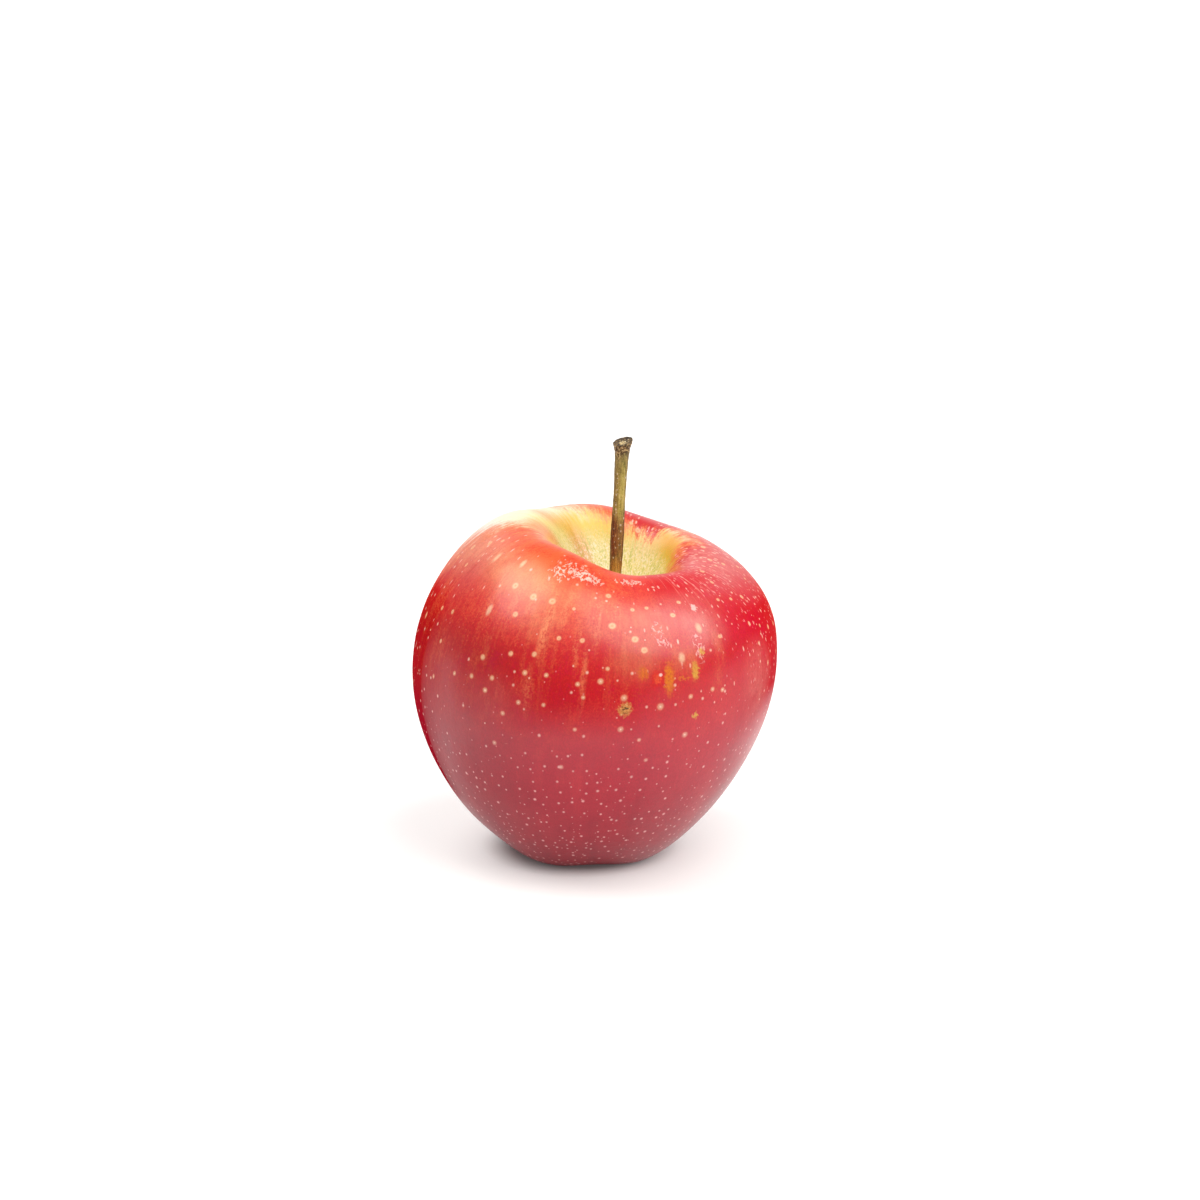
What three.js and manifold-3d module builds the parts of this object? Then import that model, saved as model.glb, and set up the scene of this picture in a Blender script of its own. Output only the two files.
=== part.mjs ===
// A red dessert apple, standing on its calyx end. It has three pieces: the fruit, the stalk that it hung by,
// and the dried calyx in the basin underneath, with its five sepals.
//
// Millimetres, +Z up, the fruit's front towards -Y. The origin is on the surface that the apple stands on,
// under the middle of its bounding box. Bearings are in degrees, anticlockwise from +X seen from above.

import * as THREE from "three";
import { mergeVertices } from "three/addons/utils/BufferGeometryUtils.js";
import Module from "manifold-3d";

const GAP = 0.3; // between pieces that touch

// ---- Fruit: 76.5 wide, and 72 tall at its high shoulder ----
// Half section as [radius, height], before the fruit is made lopsided: control points of a B-spline. A place
// along it is a share, from 0 at the calyx to 1 at the stalk.
const FRUIT_SECTION = [
  [2.6, 6.8], // mouth of the calyx's socket, in the floor of the basin
  [6, 5.5],
  [8.5, 0], // inside of the foot
  [15, -0.5], // outside of the foot
  [24.5, 7],
  [33.5, 20],
  [39, 35.5], // girth
  [38, 52.5],
  [28, 65], // shoulder
  [17, 69.5], // crest
  [11.5, 64], // wall of the cavity
  [7.5, 57],
  [4, 52.5],
  [1.6, 51], // mouth of the stalk's socket, in the floor of the cavity
];
const CALYX_SOCKET_DEPTH = 2.4;
const STALK_SOCKET_DEPTH = 5;

const LOBES = 5; // one for each seed chamber
// The foot's lobes swell outwards, and the gaps between them are lifted clear of the ground.
const FOOT = { share: 0.21, width: 0.1, swell: 0.9, gapLift: 0.35, lobeBearing: -49 };
const CREST = { share: 0.72, width: 0.12, lift: 0.9, lobeBearing: -47 };
const CREST_SADDLE = { lift: 0.65, bearing: 40 }; // two sides of the crest are up and two down
const RIB = 0.3; // how far the lobes stand out at the girth
const FOOT_LEVEL = 0.3; // the foot's lobes are pressed flat up to this height

// The stalk end rises towards the high shoulder, and leans away from the calyx's axis.
const TOP_SLOPE = { rise: 0.29, bearing: 160, from: 0.5, to: 0.77 };
const TOP_LEAN = { x: 5.4, y: 0.6, from: 0.27, to: 0.89 };

const FRUIT_SIDES = 70; // 14 to a lobe
const FRUIT_RING_SPACING = 2.8;
const FRUIT_SPAN_RINGS = 4; // at least, to a span of the section

// ---- Stalk ----
// Half section as [radius, height above the cavity's floor], control points of a B-spline.
const SOCKET_FIT = FRUIT_SECTION.at(-1)[0] - GAP;
const STALK_SECTION = [
  [SOCKET_FIT, 2 * GAP - STALK_SOCKET_DEPTH],
  [SOCKET_FIT, -1],
  [SOCKET_FIT, 3],
  [1.18, 8],
  [1.24, 13],
  [1.32, 18],
  [1.22, 23],
  [1.18, 28],
  [1.32, 32.5],
  [1.42, 35],
  [1.7, 36.5],
  [1.98, 37.5], // rim of the scar
];
const CAVITY_FLOOR = FRUIT_SECTION.at(-1)[1];
const STALK_TIP = { x: 1.8, y: 0.7, bend: 1.3 }; // offset from the foot, and how late the stalk bends over
const STALK_OVAL = 0.05;
const SCAR = { slope: 0.2, depth: 0.35, inner: 0.5, from: 34 }; // where the stalk broke from its spur
const STALK_SIDES = 20;
const STALK_RING_SPACING = 1.3;

// ---- Calyx ----
const BASIN_FLOOR = FRUIT_SECTION[0][1];
const CUP_RADIUS = FRUIT_SECTION[0][0] - GAP;
// Half section of the cup as [share of its radius, height above the basin's floor].
const CUP_SECTION = [
  [0.55, -0.2],
  [0.8, -1],
  [0.95, -0.7],
  [1, 0],
  [1, CALYX_SOCKET_DEPTH - GAP],
];
const CUP_SIDES = 20;
const SEPALS = 5;
// Midrib of a sepal as [distance from the axis, height], from inside the cup to the curled tip.
const SEPAL_MIDRIB = [
  [1.4, 7.2],
  [2, 5.7],
  [2.4, 4.5],
  [3.1, 3.4],
  [4.2, 2.8],
  [5.4, 3.1],
];
const SEPAL = { halfWidth: 1.55, tipShare: 0.25, thickness: 0.66, cupping: 0.4, sides: 10, rings: 12 };
const SEPAL_VARIETY = { reach: 0.12, curl: 0.5 }; // how much the sepals differ

const { degToRad, lerp, smoothstep } = THREE.MathUtils;
const wasm = await Module();
wasm.setup();

/** A hill of height 1 at its middle, down to 1/e a width away. */
function hill(share, { share: middle, width }) {
  return Math.exp(-(((share - middle) / width) ** 2));
}

/** 1 on each lobe and -1 in each gap between lobes. */
function lobeWave(angle, { lobeBearing }) {
  return Math.cos(LOBES * (angle - degToRad(lobeBearing)));
}

/**
 * Points of the uniform cubic B-spline that starts at the first control point and ends at the last: a list
 * of { r, z, share }, no further apart than the spacing, with at least so many to each span.
 */
function splinePoints(section, spacing, least = 1) {
  const ends = section.map(([r, z]) => new THREE.Vector2(r, z));
  const beyond = (end, next) => end.clone().multiplyScalar(2).sub(next);
  const control = [beyond(ends[0], ends[1]), ...ends, beyond(ends.at(-1), ends.at(-2))];
  const spans = ends.length - 1;
  const points = [];
  for (let span = 0; span < spans; span++) {
    const steps = Math.max(least, Math.round(ends[span].distanceTo(ends[span + 1]) / spacing));
    const stop = span === spans - 1 ? steps : steps - 1;
    for (let step = 0; step <= stop; step++) {
      const t = step / steps;
      const weights = [(1 - t) ** 3, 3 * t ** 3 - 6 * t ** 2 + 4, 3 * t * (1 + t - t ** 2) + 1, t ** 3];
      const at = new THREE.Vector2();
      weights.forEach((weight, n) => at.addScaledVector(control[span + n], weight / 6));
      points.push({ r: at.x, z: at.y, share: (span + t) / spans });
    }
  }
  return points;
}

/** Points all the way round, each placed by a function of its angle in radians. */
function ring(sides, place) {
  return Array.from({ length: sides }, (_, side) => place((side / sides) * 2 * Math.PI));
}

/** A point at a radius and an angle about the Z axis. */
function polar(r, angle, z) {
  return new THREE.Vector3(r * Math.cos(angle), r * Math.sin(angle), z);
}

function average(points) {
  return points.reduce((sum, point) => sum.add(point), new THREE.Vector3()).divideScalar(points.length);
}

/**
 * A closed surface through rings of points, with a fan over each end. On a plain rod the rings run
 * anticlockwise, seen from the last one's end.
 */
function loft(rings) {
  const sides = rings[0].length;
  const points = [...rings.flat(), average(rings[0]), average(rings.at(-1))];
  const startHub = points.length - 2;
  const endHub = points.length - 1;
  const endRing = (rings.length - 1) * sides;
  const index = [];
  for (let side = 0; side < sides; side++) {
    const next = (side + 1) % sides;
    index.push(startHub, next, side);
    for (let row = 0; row < endRing; row += sides) {
      const [a, b] = [row + side, row + next];
      const [c, d] = [b + sides, a + sides];
      index.push(a, b, c, a, c, d);
    }
    index.push(endHub, endRing + side, endRing + next);
  }
  return new THREE.BufferGeometry().setFromPoints(points).setIndex(index);
}

/** The point of the fruit's skin that the half section's point becomes at an angle. */
function skinPoint({ r, z, share }, angle) {
  const footHill = hill(share, FOOT);
  const crestHill = hill(share, CREST);
  const footWave = lobeWave(angle, FOOT);
  const girth = Math.sin(Math.PI * share) ** 2;
  const lean = smoothstep(share, TOP_LEAN.from, TOP_LEAN.to);
  const slope = smoothstep(share, TOP_SLOPE.from, TOP_SLOPE.to) * TOP_SLOPE.rise;

  const reach = r + (FOOT.swell / 2) * footHill * footWave + RIB * girth * footWave;
  const lifted =
    z +
    (FOOT.gapLift / 2) * footHill * (1 - footWave) +
    (CREST.lift / 2) * crestHill * lobeWave(angle, CREST) +
    CREST_SADDLE.lift * crestHill * Math.cos(2 * (angle - degToRad(CREST_SADDLE.bearing))) +
    slope * reach * Math.cos(angle - degToRad(TOP_SLOPE.bearing));
  const point = polar(reach, angle, Math.max(lifted, FOOT_LEVEL));
  return point.add(new THREE.Vector3(TOP_LEAN.x, TOP_LEAN.y, 0).multiplyScalar(lean));
}

function makeFruit() {
  const section = splinePoints(FRUIT_SECTION, FRUIT_RING_SPACING, FRUIT_SPAN_RINGS);
  const calyxMouth = section[0];
  const stalkMouth = section.at(-1);
  const outline = [
    { ...calyxMouth, z: calyxMouth.z + CALYX_SOCKET_DEPTH },
    ...section,
    { ...stalkMouth, z: stalkMouth.z - STALK_SOCKET_DEPTH },
  ];
  return loft(outline.map((at) => ring(FRUIT_SIDES, (angle) => skinPoint(at, angle))));
}

/** The middle of the stalk at a height above the cavity's floor. */
function stalkCentre(height) {
  const tipHeight = STALK_SECTION.at(-1)[1];
  const bent = (Math.max(height, 0) / tipHeight) ** STALK_TIP.bend;
  return new THREE.Vector3(STALK_TIP.x * bent, STALK_TIP.y * bent, height);
}

function makeStalk() {
  const section = splinePoints(STALK_SECTION, STALK_RING_SPACING);
  const rings = section.map(({ r, z }) =>
    ring(STALK_SIDES, (angle) => {
      const across = polar(r * (1 + STALK_OVAL * Math.cos(2 * angle)), angle, 0);
      const slope = SCAR.slope * smoothstep(z, SCAR.from, section.at(-1).z);
      across.z = slope * (across.x + across.y);
      return across.add(stalkCentre(z));
    }),
  );
  const rim = rings.at(-1);
  const hub = average(rim);
  hub.z -= SCAR.depth;
  const dish = rim.map((point) => point.clone().lerp(hub, SCAR.inner));
  return loft([...rings, dish]).translate(TOP_LEAN.x, TOP_LEAN.y, CAVITY_FLOOR);
}

/** A cupped blade that stands down out of the cup and curls outwards at its tip. */
function makeSepal(number) {
  const reach = 1 + SEPAL_VARIETY.reach * Math.sin(2.4 * number);
  const drop = SEPAL_VARIETY.curl * Math.cos(1.9 * number);
  const midrib = new THREE.CatmullRomCurve3(
    SEPAL_MIDRIB.map(([out, z], n) => {
      const share = n / (SEPAL_MIDRIB.length - 1);
      return new THREE.Vector3(out * lerp(1, reach, share), 0, z + drop * share);
    }),
  );
  const across = new THREE.Vector3(0, 1, 0);
  const rings = [];
  for (let row = 0; row <= SEPAL.rings; row++) {
    const share = row / SEPAL.rings;
    const normal = new THREE.Vector3().crossVectors(midrib.getTangentAt(share), across);
    const halfWidth = SEPAL.halfWidth * lerp(1, SEPAL.tipShare, smoothstep(share, 0.2, 1));
    rings.push(
      ring(SEPAL.sides, (angle) => {
        const side = Math.cos(angle);
        const proud = (SEPAL.thickness / 2) * Math.sin(angle) + SEPAL.cupping * side ** 2;
        const point = midrib.getPointAt(share);
        return point.addScaledVector(across, halfWidth * side).addScaledVector(normal, proud);
      }),
    );
  }
  return loft(rings).rotateZ((number / SEPALS) * 2 * Math.PI + degToRad(FOOT.lobeBearing));
}

function makeCup() {
  return loft(
    CUP_SECTION.map(([share, z]) =>
      ring(CUP_SIDES, (angle) => polar(share * CUP_RADIUS, angle, BASIN_FLOOR + z)),
    ),
  );
}

function toSolid(geometry) {
  const merged = mergeVertices(geometry);
  return new wasm.Manifold(
    new wasm.Mesh({
      numProp: 3,
      vertProperties: merged.getAttribute("position").array,
      triVerts: new Uint32Array(merged.index.array),
    }),
  );
}

function toGeometry(solid) {
  const { vertProperties, triVerts } = solid.getMesh();
  return new THREE.BufferGeometry()
    .setAttribute("position", new THREE.BufferAttribute(vertProperties, 3))
    .setIndex(new THREE.BufferAttribute(triVerts, 1));
}

/** The cup with its sepals, joined in one solid. */
function makeCalyx() {
  let solid = toSolid(makeCup());
  for (let number = 0; number < SEPALS; number++) solid = solid.add(toSolid(makeSepal(number)));
  return toGeometry(solid);
}

function piece(name, geometry, color, roughness) {
  geometry.computeVertexNormals();
  const mesh = new THREE.Mesh(geometry, new THREE.MeshStandardMaterial({ color, roughness, metalness: 0 }));
  mesh.name = name;
  return mesh;
}

const apple = new THREE.Group();
apple.add(
  piece("fruit", makeFruit(), "#b7212c", 0.35),
  piece("stalk", makeStalk(), "#7d6a34", 0.75),
  piece("calyx", makeCalyx(), "#5c4a31", 0.9),
);

const box = new THREE.Box3().setFromObject(apple);
const middle = box.getCenter(new THREE.Vector3());
apple.position.set(-middle.x, -middle.y, -box.min.z);

export default apple;
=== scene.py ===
"""Dresses the red apple's frame: a finely modelled fruit, stalk and calyx, with procedural materials.

Shapes are worked out in millimetres in the shape's own frame, where the calyx's axis is the Z axis and
the fruit's front faces -Y, and are then fitted to the CAD fruit's box. Bearings are in degrees,
anticlockwise from +X seen from above. A share is a place along the fruit's half section, from 0 at the
calyx to 1 at the stalk.
"""

import math

import bpy
import numpy as np
from mathutils import Matrix, Vector, noise


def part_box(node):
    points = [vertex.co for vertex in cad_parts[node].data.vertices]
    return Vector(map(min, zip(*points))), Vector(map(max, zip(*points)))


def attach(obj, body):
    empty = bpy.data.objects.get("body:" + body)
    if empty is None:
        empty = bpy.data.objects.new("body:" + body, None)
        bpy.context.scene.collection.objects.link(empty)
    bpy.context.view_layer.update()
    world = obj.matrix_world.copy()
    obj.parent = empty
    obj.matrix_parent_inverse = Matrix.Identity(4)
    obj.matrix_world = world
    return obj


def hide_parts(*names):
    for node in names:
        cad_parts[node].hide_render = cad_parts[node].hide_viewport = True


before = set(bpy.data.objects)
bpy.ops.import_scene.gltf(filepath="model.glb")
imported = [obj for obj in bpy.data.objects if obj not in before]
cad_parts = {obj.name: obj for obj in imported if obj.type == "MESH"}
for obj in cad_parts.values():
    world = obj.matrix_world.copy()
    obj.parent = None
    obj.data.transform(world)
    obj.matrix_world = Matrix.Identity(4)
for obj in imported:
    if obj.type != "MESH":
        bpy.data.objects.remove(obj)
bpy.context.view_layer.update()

TURN = 2 * math.pi

# ---- Shape, as in the CAD ----
FRUIT_SECTION = [
    (2.6, 6.8), (6, 5.5), (8.5, 0), (15, -0.5), (24.5, 7), (33.5, 20), (39, 35.5),
    (38, 52.5), (28, 65), (17, 69.5), (11.5, 64), (7.5, 57), (4, 52.5), (1.6, 51),
]
GAP = 0.3
CALYX_SOCKET_DEPTH = 2.4
STALK_SOCKET_DEPTH = 5
SOCKET_FILLET = 0.35
LOBES = 5
FOOT = {"share": 0.21, "width": 0.1, "swell": 0.9, "gap_lift": 0.35, "bearing": -49}
CREST = {"share": 0.72, "width": 0.12, "lift": 0.9, "bearing": -47}
CREST_SADDLE = {"lift": 0.65, "bearing": 40}
RIB = 0.3
FOOT_LEVEL = 0.3
TOP_SLOPE = {"rise": 0.29, "bearing": 160, "from": 0.5, "to": 0.77}
TOP_LEAN = {"x": 5.4, "y": 0.6, "from": 0.27, "to": 0.89}
SOCKET_FIT = FRUIT_SECTION[-1][0] - GAP
STALK_SECTION = [
    (SOCKET_FIT, 2 * GAP - STALK_SOCKET_DEPTH), (SOCKET_FIT, -1), (SOCKET_FIT, 3), (1.18, 8), (1.24, 13),
    (1.32, 18), (1.22, 23), (1.18, 28), (1.32, 32.5), (1.42, 35), (1.7, 36.5), (1.98, 37.5),
]
CAVITY_FLOOR = FRUIT_SECTION[-1][1]
STALK_TIP = {"x": 1.8, "y": 0.7, "bend": 1.3}
STALK_OVAL = 0.05
SCAR = {"slope": 0.2, "depth": 0.35, "from": 34}
BASIN_FLOOR = FRUIT_SECTION[0][1]
CUP_RADIUS = FRUIT_SECTION[0][0] - GAP
SEPALS = 5
SEPAL_MIDRIB = [(1.4, 7.2), (2, 5.7), (2.4, 4.5), (3.1, 3.4), (4.2, 2.8), (5.4, 3.1)]
SEPAL_VARIETY = {"reach": 0.12, "curl": 0.5}
CUP_SECTION = [(0.55, -0.2), (0.8, -1), (0.95, -0.7), (1, 0), (1, CALYX_SOCKET_DEPTH - GAP)]

# ---- Photograph ----
IMAGE_SIDE = 1200
SENSOR = 36
CAMERA = {"elevation": 16.5, "distance": 900, "target": (2.488, 0, 54.544), "focal_px": 4304.5}

# ---- Studio ----
LAMP_TINT = (1, 0.972, 0.935)
# Softboxes: name, elevation, bearing and width in degrees, and radiance, where white is 1.
SOFTBOXES = [("softbox_left", 60, 170, 41, 4.8), ("softbox_right", 55, -30, 58, 3.85)]
ROOM = 0.2
# Edges of the room's lights: the backdrop's own edge is a sine of the bearing, the others of the elevation.
CEILING = {"edge": (0.5, 0.85), "light": 0.6}
BACKDROP = {"edge": (0.72, 0.93), "top": (0.5, 0.8), "light": 0.75}
# The floor is an evenly glowing light table, sides in metres, whose glow is dimmed round the apple's foot,
# in millimetres, into a painted contact shadow.
FLOOR = {"half_side": 6, "light": 0.395, "painted_shadow_glow": 0.05, "foot": (-3, 0, 0), "painted_shadow_radii": (14, 22.5)}
WALL = {"half_side": 5.9, "top": 1.2, "light": 0.8}
TONE_SIZE = 900  # of the faint pattern on the floor and the wall, in millimetres


# ======== Curves and meshes ========


def spline(section, steps):
    """Points of the uniform cubic B-spline from the first control point to the last, with their shares."""
    ends = np.array(section, float)
    control = np.vstack([2 * ends[0] - ends[1], ends, 2 * ends[-1] - ends[-2]])
    spans = len(ends) - 1
    at = np.linspace(0, spans, spans * steps + 1)
    span = np.minimum(at.astype(int), spans - 1)
    t = (at - span)[:, None]
    weights = [(1 - t) ** 3, 3 * t**3 - 6 * t**2 + 4, 3 * t * (1 + t - t**2) + 1, t**3]
    points = sum(weight * control[span + n] for n, weight in enumerate(weights)) / 6
    return points, at / spans


def stack(*parts):
    """Points from coordinates whose shapes fit together."""
    return np.stack(np.broadcast_arrays(*parts), axis=-1)


def ring_of(count):
    """Angles all the way round."""
    return np.arange(count) / count * TURN


def smoothstep(x, low, high):
    t = np.clip((x - low) / (high - low), 0, 1)
    return t * t * (3 - 2 * t)


def hill(share, feature):
    return np.exp(-(((share - feature["share"]) / feature["width"]) ** 2))


def lobe_wave(angle, feature):
    return np.cos(LOBES * (angle - math.radians(feature["bearing"])))


def skin_points(r, z, share, angle):
    """Where the half section's points go at an angle: the CAD's formula."""
    foot_hill = hill(share, FOOT)
    crest_hill = hill(share, CREST)
    foot_wave = lobe_wave(angle, FOOT)
    girth = np.sin(math.pi * share) ** 2
    lean = smoothstep(share, TOP_LEAN["from"], TOP_LEAN["to"])
    slope = smoothstep(share, TOP_SLOPE["from"], TOP_SLOPE["to"]) * TOP_SLOPE["rise"]
    reach = r + FOOT["swell"] / 2 * foot_hill * foot_wave + RIB * girth * foot_wave
    lifted = (
        z
        + FOOT["gap_lift"] / 2 * foot_hill * (1 - foot_wave)
        + CREST["lift"] / 2 * crest_hill * lobe_wave(angle, CREST)
        + CREST_SADDLE["lift"] * crest_hill * np.cos(2 * (angle - math.radians(CREST_SADDLE["bearing"])))
        + slope * reach * np.cos(angle - math.radians(TOP_SLOPE["bearing"]))
    )
    x = reach * np.cos(angle) + TOP_LEAN["x"] * lean
    y = reach * np.sin(angle) + TOP_LEAN["y"] * lean
    return stack(x, y, np.maximum(lifted, FOOT_LEVEL))


def rough(points, height, size, seed):
    """Smooth noise at points in millimetres, with lumps of about that height and size."""
    shift = Vector((seed * 17.3, seed * 5.1, seed * 9.7))
    flat = points.reshape(-1, 3) / size
    values = [noise.noise(Vector(point) + shift) for point in flat.tolist()]
    return height * np.array(values).reshape(points.shape[:-1])


def outward(grid):
    """Unit normals of a grid of points whose columns close on themselves."""
    along = np.gradient(grid, axis=0)
    around = np.roll(grid, -1, axis=1) - np.roll(grid, 1, axis=1)
    normal = np.cross(around, along)
    return normal / np.maximum(np.linalg.norm(normal, axis=-1, keepdims=True), 1e-9)


def closed_mesh(name, grids, uv_maps):
    """A smooth mesh of grids of points in millimetres.

    Each grid is a row of closed rings, with a fan over each end. The maps are functions of row and column.
    """
    points, faces, corners = [], [], []
    for grid in grids:
        rows, columns = grid.shape[:2]
        first, hub, last = len(points), len(points) + rows * columns, rows - 1
        hubs = np.array([grid[0].mean(axis=0), grid[-1].mean(axis=0)])
        points += [*to_row(grid.reshape(-1, 3)), *to_row(hubs)]

        def corner(row, column):
            return first + row * columns + column % columns, (row, column)

        made = []
        for row, column in np.ndindex(last, columns):
            square_face = [(row, column), (row, column + 1), (row + 1, column + 1), (row + 1, column)]
            made.append([corner(*place) for place in square_face])
        for column in range(columns):
            made.append([(hub, (0, column + 0.5)), corner(0, column + 1), corner(0, column)])
            made.append([(hub + 1, (last, column + 0.5)), corner(last, column), corner(last, column + 1)])
        for face in made:
            faces.append([index for index, _ in face])
            corners += [place for _, place in face]
    mesh = bpy.data.meshes.new(name)
    mesh.from_pydata([tuple(point) for point in points], [], faces)
    mesh.shade_smooth()
    row_of, column_of = np.array(corners, float).T
    for map_name, values in uv_maps.items():
        layer = mesh.uv_layers.new(name=map_name)
        layer.data.foreach_set("uv", values(row_of, column_of).astype(np.float32).ravel())
    return put(name, mesh)


def put(name, data):
    """A new object in the scene."""
    made = bpy.data.objects.new(name, data)
    bpy.context.scene.collection.objects.link(made)
    return made


def join(name, pieces):
    """Several pieces as one."""
    with bpy.context.temp_override(active_object=pieces[0], selected_editable_objects=pieces):
        bpy.ops.object.join()
    pieces[0].name = name
    pieces[0].data.name = name
    return pieces[0]


# ======== Fruit ========

FRUIT_SIDES = 320
SPAN_STEPS = 16
GIRTH = 38.3  # radius at the girth
# Relief of the skin: height and size in millimetres, and seed.
DENTS = (0.16, 15, 1)
WAVES = (0.035, 5.5, 2)
WALL_RIDGES = (0.1, 1.7, 3)
CREST_RIDGES = (0.045, 1.1, 4)
RIDGE_PLACE = {"radius": 14, "height": 12}  # of the cylinder whose noise makes the ridges


def fruit_section():
    """The half section without its sockets, as points, shares and heights on the conformal map."""
    points, share = spline(FRUIT_SECTION, SPAN_STEPS)
    steps = np.linalg.norm(np.diff(points, axis=0), axis=1)
    conformal = np.concatenate([[0], np.cumsum(2 * steps / (points[1:, 0] + points[:-1, 0]))])
    conformal -= np.interp(0.5, share, conformal)
    return points, share, conformal


def socket_rings(mouth, radius, depth):
    """Rings of a straight tube with a rounded mouth. It goes down where the depth is below 0."""
    centre = mouth.mean(axis=0)
    sign = math.copysign(1, depth)
    out = (mouth - centre)[:, :2] / np.linalg.norm((mouth - centre)[:, :2], axis=1, keepdims=True)
    rings = []
    for turn in np.linspace(0, math.pi / 2, 5)[1:]:
        inset = SOCKET_FILLET * math.sin(turn)
        fall = SOCKET_FILLET * (1 - math.cos(turn))
        rings.append(np.column_stack([centre[:2] + out * (radius - inset), mouth[:, 2] + sign * fall]))
    rounded = rings[-1]
    for step in (0.4, 1):
        level = (1 - step) * rounded[:, 2] + step * (centre[2] + depth)
        rings.append(np.column_stack([rounded[:, :2], level]))
    return np.array(rings)


def make_fruit():
    """The fruit's grid of points, and each row's share, height on the conformal map and radius."""
    points, share, conformal = fruit_section()
    angle = (np.arange(FRUIT_SIDES) / FRUIT_SIDES + 0.25) * TURN  # the seam is at the back
    grid = skin_points(points[:, :1], points[:, 1:], share[:, None], angle[None])

    normal = outward(grid)
    inside = smoothstep(share, 0.7, 0.8)[:, None]
    wall = inside * (1 - smoothstep(share, 0.93, 1))[:, None]
    radius, height = RIDGE_PLACE["radius"], RIDGE_PLACE["height"]
    ridge_place = stack(np.cos(angle) * radius, np.sin(angle) * radius, share[:, None] * height)
    crest = smoothstep(share, 0.52, 0.7)[:, None] * (1 - inside)
    relief = rough(grid, *DENTS) + rough(grid, *WAVES)
    relief += wall * rough(ridge_place, *WALL_RIDGES) + crest * rough(ridge_place, *CREST_RIDGES)
    calm = smoothstep(grid[..., 2], 0.3, 2.5) * (1 - smoothstep(share, 0.97, 1))[:, None]
    calm *= smoothstep(share, 0, 0.05)[:, None]
    grid = grid + normal * (relief * calm)[..., None]

    calyx_tube = socket_rings(grid[0], FRUIT_SECTION[0][0], CALYX_SOCKET_DEPTH)
    stalk_tube = socket_rings(grid[-1], FRUIT_SECTION[-1][0], -STALK_SOCKET_DEPTH)
    grid = np.concatenate([calyx_tube[::-1], grid, stalk_tube])
    ends = len(calyx_tube), len(stalk_tube)
    return grid, *(np.pad(values, ends, mode="edge") for values in (share, conformal, points[:, 0]))


fruit_grid, fruit_share, fruit_conformal, fruit_radius = make_fruit()

# The shape's frame in millimetres to the row's frame in metres.
cad_low, cad_high = (np.array(corner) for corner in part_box("fruit"))
shape_low = fruit_grid.reshape(-1, 3).min(axis=0)
shape_high = fruit_grid.reshape(-1, 3).max(axis=0)


def to_row(points):
    """Places in the row's frame."""
    return cad_low + (np.array(points, float) - shape_low) * (cad_high - cad_low) / (shape_high - shape_low)


fruit = closed_mesh("fruit_skin", [fruit_grid], {
    "skin": lambda row, column: stack(column / FRUIT_SIDES, fruit_conformal[row.astype(int)] / TURN),
    "section": lambda row, column: stack(fruit_share, fruit_radius / GIRTH)[row.astype(int)],
})


# ======== Shader helpers ========


def colour(code):
    """A linear colour from an sRGB hex code."""
    parts = [int(code[n : n + 2], 16) / 255 for n in (1, 3, 5)]
    return (*[p / 12.92 if p <= 0.04045 else ((p + 0.055) / 1.055) ** 2.4 for p in parts], 1)


def operator(operation, swapped=False):
    """Arithmetic between fields, and between a field and a number."""
    return lambda a, b: a.nodes.math(operation, b, a) if swapped else a.nodes.math(operation, a, b)


class Field:
    """A quantity or a colour that varies over a surface. Sums of fields become Math nodes."""

    def __init__(self, nodes, socket):
        self.nodes = nodes
        self.socket = socket

    __add__ = __radd__ = operator("ADD")
    __sub__ = operator("SUBTRACT")
    __rsub__ = operator("SUBTRACT", swapped=True)
    __mul__ = __rmul__ = operator("MULTIPLY")
    __truediv__ = operator("DIVIDE")

    def tint(self, factor, over, blend="MIX"):
        """This colour with another over it, which is a field or a hex code."""
        return self.nodes.mix(factor, self, colour(over) if isinstance(over, str) else over, blend)


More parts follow.
